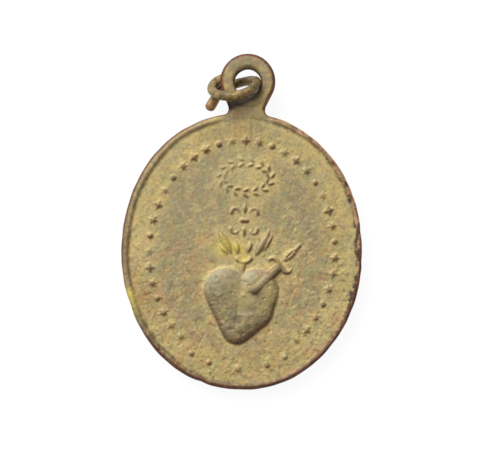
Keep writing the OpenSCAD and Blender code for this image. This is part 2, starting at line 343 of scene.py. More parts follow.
# Wear: the striking is soft, and the border is rubbed away most towards the foot.
LEE = (0.5, -0.86)                # the side turned from the light is the lower right
CLEFT = (0.05, -3.4, 0.9)
ROUGH_SPOTS = ((5.2, 3.6, 1.6), (7.0, -0.5, 1.6))
PIT_TRIES = 150
rubbed = 1 - 0.35 * ramp(-3, -11, GY)
lumpy = ramp(-2.5, 2.0, GX - 0.6 * (GY - HEART_Y)) * ramp(0.1, 0.4, heart_body)
lumps = 0.035 * noise(0.3) * lumpy
pocked = ramp(1.5, 3.0, -GX - 0.5 * (GY + 5.5)) * ramp(0.05, 0.3, heart_body)
lumps = lumps - 0.06 * ramp(0.8, 2.0, noise(0.11)) * pocked
# the heart is soft on its brow and in its cleft, and crisp at the lower right
crisp = ramp(-1.5, 1.5, LEE[0] * GX + LEE[1] * (GY - HEART_Y)) * (1 - spot(*CLEFT))
heart_worn = blur(heart_body, 0.08) * crisp + blur(heart_body, 0.24) * (1 - crisp)
soft_emblem, soft_marks, soft_heart = blur(emblem, 0.05), blur(marks, 0.06), blur(heart_body, 0.06)
relief = np.maximum(heart_worn + lumps, soft_emblem)
relief = np.maximum(relief, soft_marks * rubbed)

# Corroded grain, rougher in the lower half, and a few pits.
lower = ramp(5, -5, GY + 1.5 * noise(2.0))
swell = 0.02 * noise(2.5) + 0.012 * noise(0.8)
crumbs = 0.03 * ramp(1.0, 2.4, noise(0.12)) - 0.04 * ramp(1.0, 2.4, noise(0.1))
rough = 0.5 + 0.7 * lower + 0.7 * spots(ROUGH_SPOTS)
ragged = ramp(0.02, 0.2, heart_body) * ramp(0.7, 0.5, heart_body) * crisp
rough = rough + 0.5 * ramp(0.1, 0.4, heart_body) + 1.2 * ragged
grain = rough * (0.008 * noise(0.15) + 0.004 * noise(0.07) + crumbs)
for _ in range(PIT_TRIES):
    px, py = RNG.uniform(-11, 11), RNG.uniform(-13, 13)
    size, deep = RNG.uniform(0.06, 0.16), RNG.uniform(0.015, 0.05)
    if RNG.uniform() < 0.3 + 0.7 * ramp(4, -6, py):
        turn = RNG.uniform(0, pi)
        end = (px + 2 * size * cos(turn), py + 2 * size * sin(turn))
        stroke(pits, [(px, py), end], [size, size * 0.6], [deep, deep * 0.7])
pits = blur(pits, 0.05)
surface = relief + swell + grain - pits


# The blank.
def oval_frame(x, y):
    """Coordinates along the axes of the trimmed outline."""
    c, s = cos(TRIM_TURN), sin(TRIM_TURN)
    return x * c + y * s, y * c - x * s


def oval_depth(x, y):
    """Distance inside the oval's outline, negative outside it."""
    u, v = oval_frame(x, y)
    p = OVAL_POWER
    u, v = np.abs(u) / HALF_W, np.abs(v) / HALF_H
    f = (u ** p + v ** p + 1e-12) ** (1 / p)
    slope = np.hypot(u ** (p - 1) / HALF_W, v ** (p - 1) / HALF_H) * f ** (1 - p)
    return (1 - f) / (slope + 1e-9)


def rim_width(x, y):
    turn = np.arctan2(y, x)
    wave = 1 + 0.06 * np.sin(3 * turn + 0.8) + 0.05 * np.sin(11 * turn)
    return wave * (RIM_LEFT + RIM_RIGHT - (RIM_LEFT - RIM_RIGHT) * np.cos(turn)) / 2


def blank_height(x, y, rim_h):
    """Height over the mid-plane of the bare blank: field, rim, neck and eye."""
    d = oval_depth(x, y)
    w = rim_width(x, y)
    at_neck = ramp(3.3, 1.9, np.abs(x)) * ramp(8, 11, y)
    z_oval = FIELD_Z + rim_h * ramp(w + 0.12, w - 0.3, d) * (1 - at_neck)
    limb = np.abs(np.hypot(x, y - EYE_Y) - LIMB_R)
    shoulder = np.clip(limb - (LIMB_HALF - EYE_ROUND), 0, EYE_ROUND)
    z_eye = EYE_T / 2 - EYE_ROUND + np.sqrt(EYE_ROUND ** 2 - shoulder ** 2)
    z_eye = np.where(limb > LIMB_HALF, EYE_T / 2 - EYE_ROUND, z_eye)
    in_plate = ramp(HALF_H + 0.2, HALF_H - 1.0, y)
    below = ramp(EYE_Y - 0.9, EYE_Y - 1.7, y)
    z_neck = NECK_Z + (FIELD_Z - NECK_Z) * in_plate
    z_top = np.maximum(z_eye, z_neck * below + (EYE_T / 2 - EYE_ROUND) * (1 - below))
    blend = ramp(-0.35, 0.6, d)
    return z_top * (1 - blend) + z_oval * blend


def neck_hollow(side):
    """Fillet between neck and oval, from the neck down, and where it meets the oval."""
    cx = side * (NECK_W / 2 + NECK_FILLET)
    ys = np.linspace(HALF_H - 2, HALF_H + 2, 4001)
    cy = ys[np.argmin(np.abs(oval_depth(cx, ys) + NECK_FILLET))]
    h = 1e-4
    slope_u = oval_depth(cx + h, cy) - oval_depth(cx - h, cy)
    slope_v = oval_depth(cx, cy + h) - oval_depth(cx, cy - h)
    toward = atan2(slope_v, slope_u)
    start = pi if side > 0 else 0.0
    sweep = (toward - start + pi) % (2 * pi) - pi
    turns = start + sweep * np.linspace(0, 1, 40)
    arc = [(cx + NECK_FILLET * cos(t), cy + NECK_FILLET * sin(t)) for t in turns]
    u, v = oval_frame(*arc[-1])
    return arc, atan2(v, u)


def outline():
    """Closed outline of oval, neck and eye, clockwise from the top of the eye."""
    neck_x, neck_y = NECK_W / 2, HALF_H + NECK_TOP
    drop = neck_y - EYE_Y
    a = atan2(drop, neck_x) + acos(EYE_R / hypot(neck_x, drop))
    eye_turns = np.linspace(pi / 2, a, 260)
    eye = [(EYE_R * cos(t), EYE_Y + EYE_R * sin(t)) for t in eye_turns]
    right, t_right = neck_hollow(1)
    left, t_left = neck_hollow(-1)
    c, s = cos(TRIM_TURN), sin(TRIM_TURN)
    side = []
    for t in np.linspace(t_right, t_left - 2 * pi, 3600):
        f = abs(cos(t) / HALF_W) ** OVAL_POWER + abs(sin(t) / HALF_H) ** OVAL_POWER
        r = f ** (-1 / OVAL_POWER)
        u, v = r * cos(t), r * sin(t)
        side.append((u * c - v * s, u * s + v * c))
    mirrored = [(-x, y) for x, y in eye[::-1]]
    right, left = [(neck_x, neck_y)] + right, left[::-1] + [(-neck_x, neck_y)]
    return np.array(eye + right + side + left + mirrored[:-1])


def spaced(path, step, closed=False):
    """Open path or closed loop with even spacing."""
    run = np.vstack([path, path[:1]]) if closed else path
    s = np.concatenate([[0], np.cumsum(np.linalg.norm(np.diff(run, axis=0), axis=1))])
    t = np.linspace(0, s[-1], int(s[-1] / step), endpoint=not closed)
    return np.stack([np.interp(t, s, values) for values in run.T], 1)


def eased(path, count, closed=False):
    """Takes the kinks out of an open path or closed loop by averaging neighbours."""
    for _ in range(count):
        mean = (np.roll(path, 1, 0) + 2 * path + np.roll(path, -1, 0)) / 4
        if not closed:
            mean[[0, -1]] = path[[0, -1]]
        path = mean
    return path


def inward(loop):
    """Unit normals of a closed loop, to the right of its run."""
    d = np.roll(loop, -1, 0) - np.roll(loop, 1, 0)
    n = np.stack([d[:, 1], -d[:, 0]], 1)
    return n / np.linalg.norm(n, axis=1)[:, None]


# The mesh of the medal.
STEP = 0.1                        # spacing on the struck face
BACK_STEP = 0.22                  # spacing on the reverse
CLEAR = 0.55                      # gap between grid and edge rings, in steps
OUTLINE_STEP, OUTLINE_ROUNDS = 0.02, 60
WALL_BULGE = 0.015                # how far the walls swell at mid-height
FAR_INSIDE = 9.0                  # depth at which the edge is no longer felt
LEAST_Z = 0.1                     # least half thickness
# depths of the mesh rings inside the outline and round the hole, closest at the rounded edge
HOLE_LOOPS = [0, 0.012, 0.04, 0.085, 0.145, 0.22, 0.31]
OUTER_LOOPS = HOLE_LOOPS + [0.41, 0.52, 0.63, 0.75]
# knocks on the outline: height, count and phase of soft waves; place, width and depth of nicks
WAVES = ((0.02, 7, 1), (0.012, 23, 0), (0.008, 41, 2))
NICKS = (
    (-10.75, -5.4, 0.5, 0.06), (11.6, 2.4, 0.35, 0.1), (11.75, -0.6, 0.3, 0.08),
    (10.6, 5.9, 0.3, 0.07), (-3.6, -13.2, 0.3, 0.06), (6.2, 11.4, 0.3, 0.05),
)

rim_line = eased(spaced(outline(), OUTLINE_STEP, closed=True), OUTLINE_ROUNDS, closed=True)
rim_line = spaced(rim_line, STEP, closed=True)
rim_turn = np.arctan2(rim_line[:, 1], rim_line[:, 0])
push = sum(high * np.sin(count * rim_turn + phase) for high, count, phase in WAVES)
for nx, ny, width, deep in NICKS:
    gap2 = ((rim_line - [nx, ny]) ** 2).sum(1)
    push = push + deep * np.exp(-gap2 / (2 * width ** 2))
push = push * ramp(HALF_H + 0.3, HALF_H - 0.3, rim_line[:, 1])
rim_line = rim_line + inward(rim_line) * push[:, None]

hole_turn = np.linspace(0, 2 * pi, 96, endpoint=False)
hole_r = HOLE_R * (1 + 0.012 * np.sin(2 * hole_turn + 0.5) + 0.008 * np.sin(5 * hole_turn))
hole_line = np.stack([hole_r * np.cos(hole_turn), HOLE_Y + hole_r * np.sin(hole_turn)], 1)


def tree_of(points):
    tree = KDTree(len(points))
    for i, p in enumerate(points):
        tree.insert((p[0], p[1], 0), i)
    tree.balance()
    return tree


def edge_drop(d, y):
    """How far the rounded rim edge has fallen at a distance d from the outline."""
    r = np.where(y > HALF_H + 0.4, 0.0, EDGE_ROUND)  # the eye has its own rounding
    short = np.clip(r - d, 0, None)
    return r - np.sqrt(np.maximum(0, r * r - short * short))


def face_height(x, y, d, front):
    """Height of the dressed face over the mid-plane, d being the distance from the nearest edge."""
    z = blank_height(x, y, RIM_WORN if front else RIM_H) - edge_drop(d, y)
    if front:
        z = z + sample(surface, x, y)
    else:
        z = z + sample(swell, -x, y) + sample(grain, -x, y)
    return np.maximum(z, LEAST_Z)


verts, faces = [], []


def add_points(points, z):
    """Adds vertices and returns the index of the first."""
    first = sum(len(v) for v in verts)
    verts.append(np.column_stack([points, z]))
    return first


def bridge(a, b, n):
    """Quads between two rings of n vertices."""
    return [(a + i, a + (i + 1) % n, b + (i + 1) % n, b + i) for i in range(n)]


def edge_rings(line, depths, front):
    """Rings from an edge into the face; returns first indices and the innermost ring."""
    normal = inward(line)
    firsts, ring = [], None
    for d in depths:
        ring = line + normal * d
        z = face_height(ring[:, 0], ring[:, 1], d, front)
        firsts.append(add_points(ring, z if front else -z))
    for a, b in zip(firsts, firsts[1:]):
        faces.extend(bridge(a, b, len(line)))
    return firsts, ring


def fill(outer, inner, first_outer, first_inner, step, front):
    """Triangles between the innermost rings on an even grid of points."""
    rows = np.arange(Y0, Y1, step * sqrt(3) / 2)
    columns = np.arange(X0, X1, step)
    pts = np.array([(x + (k % 2) * step / 2, y) for k, y in enumerate(rows) for x in columns])
    hole_edge = HOLE_R + max(HOLE_LOOPS)
    pts = pts[np.hypot(pts[:, 0], pts[:, 1] - HOLE_Y) > hole_edge + CLEAR * step]
    tree, normal = tree_of(outer), inward(outer)
    nearest = np.array([tree.find((p[0], p[1], 0))[1] for p in pts])
    pts = pts[((pts - outer[nearest]) * normal[nearest]).sum(1) > CLEAR * step]
    pts = np.vstack([outer, inner, pts])
    no, ni = len(outer), len(inner)
    edges = [(i, (i + 1) % no) for i in range(no)]
    edges += [(no + i, no + (i + 1) % ni) for i in range(ni)]
    new_pts, _, tris, origin = delaunay_2d_cdt([Vector(p) for p in pts], edges, [], 1, 1e-7)[:4]
    first = sum(len(v) for v in verts)
    index, extra = {}, []
    for k, src in enumerate(origin):
        s = src[0] if src else -1
        if 0 <= s < no:
            index[k] = first_outer + s
        elif no <= s < no + ni:
            index[k] = first_inner + s - no
        else:
            index[k] = first + len(extra)
            extra.append(tuple(new_pts[k]))
    extra = np.array(extra)
    z = face_height(extra[:, 0], extra[:, 1], FAR_INSIDE, front)
    add_points(extra, z if front else -z)
    for t in tris:
        mid = sum((new_pts[k] for k in t), Vector((0, 0))) / len(t)
        if hypot(mid[0], mid[1] - HOLE_Y) > hole_edge - 0.02:
            faces.append(tuple(index[k] for k in t))


def build_medal():
    """One closed mesh: struck face, reverse, outer wall and the wall of the eye's hole."""
    firsts = {}
    for front in (True, False):
        outer, outer_ring = edge_rings(rim_line, OUTER_LOOPS, front)
        inner, inner_ring = edge_rings(hole_line, HOLE_LOOPS, front)
        fill(outer_ring, inner_ring, outer[-1], inner[-1], STEP if front else BACK_STEP, front)
        firsts[front] = (outer[0], inner[0])
    for k, line in ((0, rim_line), (1, hole_line)):
        mid = add_points(line - inward(line) * WALL_BULGE, np.zeros(len(line)))
        faces.extend(bridge(mid, firsts[True][k], len(line)))
        faces.extend(bridge(firsts[False][k], mid, len(line)))
    return np.vstack(verts), faces


def mesh_object(name, points, polys):
    """Smooth object from points in millimetres, with its faces turned outwards."""
    mesh = bpy.data.meshes.new(name)
    mesh.from_pydata([tuple(p) for p in to_row(points)], [], polys)
    bm = bmesh.new()
    bm.from_mesh(mesh)
    bmesh.ops.recalc_face_normals(bm, faces=bm.faces)
    bm.to_mesh(mesh)
    bm.free()
    mesh.polygons.foreach_set("use_smooth", np.ones(len(mesh.polygons), bool))
    obj = bpy.data.objects.new(name, mesh)
    bpy.context.scene.collection.objects.link(obj)
    return obj


def paint(obj, name, values):
    """Stores one number per vertex for the material."""
    att = obj.data.attributes.new(name, "FLOAT", "POINT")
    att.data.foreach_set("value", np.asarray(values, np.float32))


medal_points, medal_polys = build_medal()
medal = mesh_object("medal_struck", medal_points, medal_polys)

# Wear round the rim, by bearing in degrees: how full the dirt is, and how full the red skin of the edge,
# which is fuller along the lower side as painted shade.
RIM_TURN = (-180, -165, -145, -130, -60, -20, 10, 45, 60, 100, 130, 170, 180)
GRIME_FULL = (0.4, 0.3, 0.4, 0.7, 0.35, 1.5, 1.3, 0.7, 0.4, 0.05, 0.15, 0.4, 0.4)
SKIN_AND_SHADE_FULL = (0.4, 0.1, 0.1, 0.8, 1.2, 0.8, 0.4, 0.7, 0.5, 0.2, 0.5, 0.4, 0.4)
EYE_SKIN = 0.72                   # the red skin round the eye

# Spots of wear and stain on the face, and of painted light round the neck.
KNOCKS = (
    (11.36, 3.87, 0.6), (11.7, 1.2, 0.25), (9.35, 8.64, 0.3), (5.4, 12.0, 0.3), (11.79, -1.2, 0.25),
)
SPOTS_OF_WEAR_AND_LIGHT = {
    # clean ground on the left, at the lower right and round the emblem
    "clean": (
        (-10.2, 0.4, 1.6), (7.6, -8.6, 1.6), (9.8, -5.0, 1.4), (2.7, -0.5, 0.9, 0.6),
        (4.4, 0.3, 0.9, 0.6), (0.2, 1.6, 1.2, 0.6), (0.15, 7.4, 1.3, 0.6), (4.5, -2.2, 0.9, 0.6),
        (3.1, -7.9, 0.9, 0.6), (8.3, -7.2, 1.2, 0.6), (10.6, 0.2, 0.7, 0.6),
    ),
    # brown smudges at the lower left and under the neck
    "smudge": ((-9.9, -4.2, 0.8), (-9.1, -5.3, 0.8), (-3.0, 12.0, 0.9), (-0.6, 12.4, 0.9)),
    # dull grey ground to the left of the emblem
    "dull": ((-5.6, 3.0, 1.7), (-6.6, -1.0, 1.5)),
    # the heart is fairer in its middle and behind the blade, greyer on its left lobe, dark at the wound
    "fair": ((0.1, -4.4, 0.9), (3.1, -3.9, 0.6, 1.2), (2.4, -5.6, 0.7, 0.6)),
    "lobe": ((-2.0, -3.6, 1.0),),
    "wound": ((1.4, -3.95, 0.38),),
    # painted light at the foot of the neck and on its right shoulder, where the ring's shadow falls, and
    # painted highlights beside its left shoulder; the eye is greenish on its crown
    "neck": ((0.2, 13.7, 0.8),),
    "shoulder": (
        (1.2, 14.5, 0.6), (1.5, 15.3, 0.4), (-2.5, 13.3, 0.35), (-3.3, 12.95, 0.35),
        (0.2, 13.6, 0.8, 0.15),
    ),
    "crown": ((0.2, 19.1, 0.7), (-1.2, 18.5, 0.6, 0.7)),
    # bare metal where the rim was knocked, and bright metal left on the petals and the cup
    "bare": ((-10.4, -6.2, 0.35, 0.5), (-10.9, -5.3, 0.38), (-11.2, -4.5, 0.38)),
    "gilt": ((-1.8, 0.5, 0.6, 0.8), (-0.5, 0.3, 0.45, 0.9), (0.2, -0.95, 0.35)),
}
# points, widths and strengths of the scratches and of the painted shadow of the ring, with some dirt, on
# the neck and the eye
SCRATCHES = (
    ([(-4.8, 3.7), (-3.15, 4.6)], [0.06, 0.1], [1.0, 1.0]),
    ([(-5.5, 2.9), (-4.2, 3.6)], [0.05, 0.06], [0.8, 0.8]),
)
RING_SHADOW_AND_DIRT_LINES = (
    ([(-1.7, 14.5), (-0.45, 15.0), (0.5, 15.5), (1.3, 16.0)], [0.5, 0.6, 0.65, 0.5], [1, 1, 0.9, 0.5]),
    ([(1.3, 16.0), (1.6, 17.0)], [0.5, 0.4], [0.4, 0.3]),
)
STANDS = 0.12                     # height from which the relief counts as standing
STEEP = 0.7                       # slope from which a side takes the full painted highlight or painted shade

# What the masks are made from.
depth = oval_depth(GX, GY)
on_oval = ramp(-0.5, -0.2, depth)
from_rim = depth - rim_width(GX, GY)
on_rim = ramp(0.06, -0.1, from_rim)
rim_foot = 0.6 * np.exp(-((from_rim - 0.35) / 0.25) ** 2)
bearing = np.degrees(np.arctan2(GY, GX))
grime_full = np.interp(bearing, RIM_TURN, GRIME_FULL)
standing = np.clip(relief / STANDS, 0, 1)
stamped = np.clip(np.maximum(soft_emblem, soft_marks) / STANDS, 0, 1)
raised = np.clip(np.maximum(heart_body, soft_emblem) / STANDS, 0, 1)
shelter = 2.3 * blur(raised, 0.7) * (1 - raised)
on_heart = ramp(0.0, 0.15, soft_heart)
on_hilt = ramp(-2.9, -2.4, GY) * ramp(4.5, 4.9, GX - GY) * ramp(3.1, 3.5, GX)
right_flank = 0.7 * ramp(2.0, 3.2, GX) * ramp(-3.4, -5.2, GY)
turned_down = np.maximum(ramp(-4.2, -5.6, GY), right_flank)
# slopes of the relief towards the light, for its painted highlight and painted shade
slope_y, slope_x = np.gradient(blur(relief, 0.05), CELL)
away = LEE[0] * slope_x + LEE[1] * slope_y  # rise towards the lower right
lit_side = np.clip(away / STEEP, 0, 1)
scratch, ring_shadow_and_dirt, blade, petals, leaves = (np.zeros((NY, NX)) for _ in range(5))
for line in SCRATCHES:
    stroke(scratch, *line)
for line in RING_SHADOW_AND_DIRT_LINES:
    stroke(ring_shadow_and_dirt, *line)
stroke(blade, *BLADE)
flames(petals)
wreath(leaves)
fleur(leaves)
petal_foot = blur(petals, 0.04)
on_marks, on_leaves = (ramp(0.02, 0.12, a) for a in (blur(marks, 0.08), blur(leaves, 0.06)))
shaded = 0.3 + 0.9 * ramp(-1.2, 1.2, 0.4 * GX - 0.9 * (GY - WREATH_AT[1]))
below_eye = ramp(2.6, 1.2, np.abs(GX - 0.2))
open_ground = 1 - np.clip(2.0 * blur(standing, 0.6), 0, 1)
foot_line = 1.7 * (blur(standing, 0.2) - 0.9 * standing)

# What the patina and the painted light and shade follow, from 0 to about 1.
masks = {name: spots(places) for name, places in SPOTS_OF_WEAR_AND_LIGHT.items()}
masks.update({
    # open ground is rubbed grey, what the relief and the rim shelter stays ochre
    "worn": ramp(2.8, 4.2, depth + 0.5 * noise(0.9)) * open_ground,
    # the lower half is corroded, and dirt lies in the pits
    "lower": lower,
    "pits": ramp(0.008, 0.04, pits),
    # pale line along the foot of the relief and the rim
    "halo": np.clip(foot_line + blur(scratch, 0.03) + shelter + rim_foot, 0, 1),
    # painted shade on the lower right sides of what stands, turned from the light, and a painted
    # highlight on the sides that face it
    "shade_side": np.clip(-away / STEEP, 0, 1),
    "lit_side": lit_side,
    "top": ramp(0.25, 0.9, stamped) * (1 - 0.5 * on_heart),
    # heart and blade are darker than the ground, and the heart's side that faces the light gets a
    # painted highlight
    "heart": np.maximum(on_heart, ramp(0.02, 0.2, blur(blade, 0.05))),
    "heart_highlight": lit_side * on_heart * (1 - ramp(0.02, 0.2, soft_emblem)),
    # painted shade and dirt on the steep flank of the heart, in its lower half and on its right, turned
    # from the light
    "flank": ramp(0.02, 0.12, soft_heart) * ramp(0.5, 0.25, soft_heart) * turned_down,
    # stamped marks are brown, and the leaves of wreath and fleur-de-lis are brown with painted shade
    # that grows towards the lower right
    "marks": on_marks * rubbed + on_leaves * shaded,
    # the petals on the right are mauve, and dirt lies along the foot of all
    "petals": ramp(0.1, 0.25, petals) * ramp(-0.5, 0.3, GX),
    "trace": np.exp(-((petal_foot - 0.05) / 0.04) ** 2) * ramp(0.01, 0.03, petal_foot),
    "hilt": ramp(0.05, 0.2, emblem) * (1 - ramp(0.0, 0.3, on_heart)) * on_hilt,
    # rim with its dirt, the painted shade in the crease at its foot and the copper of its knocks
    "rim": on_rim,
    "grime": ramp(0.3, -0.1, from_rim + 0.13 * noise(0.3)) * on_oval * grime_full,
    "crease_shade": np.exp(-((from_rim + 0.05) / 0.12) ** 2) * on_oval,
    "copper": spots(KNOCKS) * on_rim,
    # the eye, the dirt washed down from it, and the painted shadow of the ring with some dirt
    "eye": ramp(14.4, 15.2, GY),
    "drip": below_eye * ramp(9.2, 12.0, GY) * ramp(16.0, 15.0, GY),
    "ring_shadow_and_dirt": np.clip(1.3 * blur(ring_shadow_and_dirt, 0.18), 0, 1),
})
on_face = medal_points[:, 2] > 0
vertex_x, vertex_y = medal_points[:, 0], medal_points[:, 1]
rim_behind = ramp(0.9, 0.6, oval_depth(vertex_x, vertex_y))
for name, mask in masks.items():
    behind = rim_behind if name == "rim" else 0.0
    paint(medal, name, np.where(on_face, sample(mask, vertex_x, vertex_y), behind))


def gap_to(line):
    """Distance of each vertex from an edge, seen from the front."""
    tree = tree_of(line)
    return np.array([tree.find((x, y, 0))[2] for x, y in zip(vertex_x, vertex_y)])


# Red-brown skin of the outer edge, fuller along the lower side as painted shade, copper on its upper
# right, and painted shade on the wall of the hole.
vertex_turn = np.degrees(np.arctan2(vertex_y, vertex_x))
skin = np.where(vertex_y > HALF_H + 0.3, EYE_SKIN, np.interp(vertex_turn, RIM_TURN, SKIN_AND_SHADE_FULL))
rim_gap = gap_to(rim_line)
upper_right = ramp(6, 16, vertex_turn) * ramp(84, 70, vertex_turn)
paint(medal, "edge", ramp(1.0, 0.4, rim_gap / (0.14 + 0.38 * skin)) * np.minimum(1, 1.7 * skin))
paint(medal, "bronzed", ramp(0.32, 0.12, rim_gap) * upper_right)
paint(medal, "hole_wall_shade", ramp(0.24, 0.06, gap_to(hole_line)))

# The jump ring.
WIRE_R = 0.47
RING_R = 2.24                     # to the middle of the wire
RING_STEP, RING_ROUNDS, WIRE_SIDES = 0.05, 30, 32
# seat in the limb, shift to one side, play at the limb and between the lapped strands
RING_SEAT, RING_SIDE, RING_PLAY, END_PLAY = 0.66, 0.2, 0.16, 0.08
RING_TURN, FRONT_LEAN, BACK_LEAN = (radians(a) for a in (191.5, 32, 17))
LAP_A, LEAVE_A, STUB_BEND = (radians(a) for a in (62, 55, 31))
STUB_BEND_R, STUB_LEN = 0.8, 1.85
EYE_CORNER = 0.4                  # rounding of the limb that the ring clears
SEAT_HOLE_R = 1.4                 # hole that the ring's seat is laid out from
BLUNT = 0.13                      # share by which the free end is broader
CROOK = (-2.5, 15.7)              # where the wire lies over its free end, middle of the painted shade there

corner = RING_SEAT + (EYE_R - SEAT_HOLE_R) / 2 - EYE_CORNER
reach = RING_R - WIRE_R - EYE_CORNER - RING_PLAY
RING_LIFT = cos(FRONT_LEAN) * sqrt(reach ** 2 - corner ** 2) - EYE_T / 2 + EYE_CORNER
lean_gap = 2 * RING_R * sin(LAP_A) * sin((FRONT_LEAN - BACK_LEAN) / 2)
LAP_TILT = asin((2 * WIRE_R + END_PLAY - lean_gap) / (RING_R * (1 + cos(LAP_A))))


def turned(p, axis, angle):
    """Points turned about a coordinate axis."""
    i, j = [(1, 2), (2, 0), (0, 1)][axis]
    q = p.copy()
    q[:, i] = p[:, i] * cos(angle) - p[:, j] * sin(angle)
    q[:, j] = p[:, i] * sin(angle) + p[:, j] * cos(angle)
    return q


def ring_path():
    """Middle line of the wire from the tip of the lower end to the lapped end."""
    def arc(a0, a1):
        a = np.linspace(a0, a1, 400)
        return np.stack([RING_R * np.cos(a), RING_R * np.sin(a), 0 * a], 1)

    bend = np.linspace(0, STUB_BEND, 60)
    stub = np.stack([0 * bend + RING_R, STUB_BEND_R * np.sin(bend), STUB_BEND_R * (np.cos(bend) - 1)], 1)
    run = np.linspace(0, STUB_LEN, 60)[1:, None]
    stub = np.vstack([stub, stub[-1] + run * [0, cos(STUB_BEND), -sin(STUB_BEND)]])
    stub = turned(stub, 2, -LEAVE_A)
    pivot = np.array([RING_R, 0, 0])
    back = np.vstack([arc(pi, 2 * pi - LEAVE_A), stub[1:]])
    back = turned(turned(back + pivot, 1, LAP_TILT) - pivot, 0, pi / 2 - BACK_LEAN)
    front = turned(arc(pi, -LAP_A), 0, pi / 2 - FRONT_LEAN)
    path = np.vstack([back[::-1], front[1:]]) + [(EYE_R + SEAT_HOLE_R) / 2 - RING_SEAT, RING_SIDE, 0]
    return turned(path, 2, RING_TURN) + [0, EYE_Y, RING_LIFT]


def tube(path, radius, sides):
    """Closed round bar along a path with rounded ends and a little unevenness."""
    tangent = np.gradient(path, axis=0)
    tangent /= np.linalg.norm(tangent, axis=1)[:, None]
    cap = np.radians(np.linspace(88, 0, 9))
    run = np.linspace(0, 1, len(path))
    broad = radius * (1 + BLUNT * ramp(0.1, 0.0, run))
    (start, start_way), (end, end_way) = zip(path[[0, -1]], tangent[[0, -1]])
    tail = [(start - start_way * radius * sin(a), start_way, broad[0] * cos(a)) for a in cap]
    body = list(zip(path[1:-1], tangent[1:-1], broad[1:-1]))
    head = [(end + end_way * radius * sin(a), end_way, broad[-1] * cos(a)) for a in cap[::-1]]
    angles = np.linspace(0, 2 * pi, sides, endpoint=False)
    across = np.cross(tangent[0], [0.2, 0.9, 0.4])
    rings = []
    for k, (q, g, r) in enumerate(tail + body + head):
        across = across - g * (across @ g)
        across /= np.linalg.norm(across)
        other = np.cross(g, across)
        uneven = 1 + 0.018 * np.sin(3 * angles + 0.05 * k) + 0.012 * np.sin(2 * angles - 0.21 * k)
        uneven = uneven + 0.02 * sin(0.11 * k)
        spokes = np.cos(angles)[:, None] * across + np.sin(angles)[:, None] * other
        rings.append(q + spokes * (r * uneven)[:, None])
    polys = []
    for k in range(len(rings) - 1):
        polys += bridge(k * sides, (k + 1) * sides, sides)
    last = (len(rings) - 1) * sides
    polys += [tuple(range(sides)), tuple(last + i for i in range(sides))]
    return np.vstack(rings), polys


ring_points, ring_polys = tube(eased(spaced(ring_path(), RING_STEP), RING_ROUNDS), WIRE_R, WIRE_SIDES)
ring = mesh_object("jump_ring_wire", ring_points, ring_polys)
# The flanks of the wire keep their red skin.
paint(ring, "flank", [ramp(0.42, 0.1, abs(v.normal.z)) for v in ring.data.vertices])
# Painted shade where it lies in the eye and where it lies over its free end; that end is rubbed.
ring_x, ring_y = ring_points[:, 0], ring_points[:, 1]
crook = np.exp(-((ring_x - CROOK[0]) ** 2 + (ring_y - CROOK[1]) ** 2) / 0.5)
paint(ring, "wire_shade", np.maximum(ramp(-0.6, 0.9, ring_x), crook))
paint(ring, "rubbed", ramp(15.3, 14.8, ring_y) * ramp(-2.7, -3.1, ring_x))


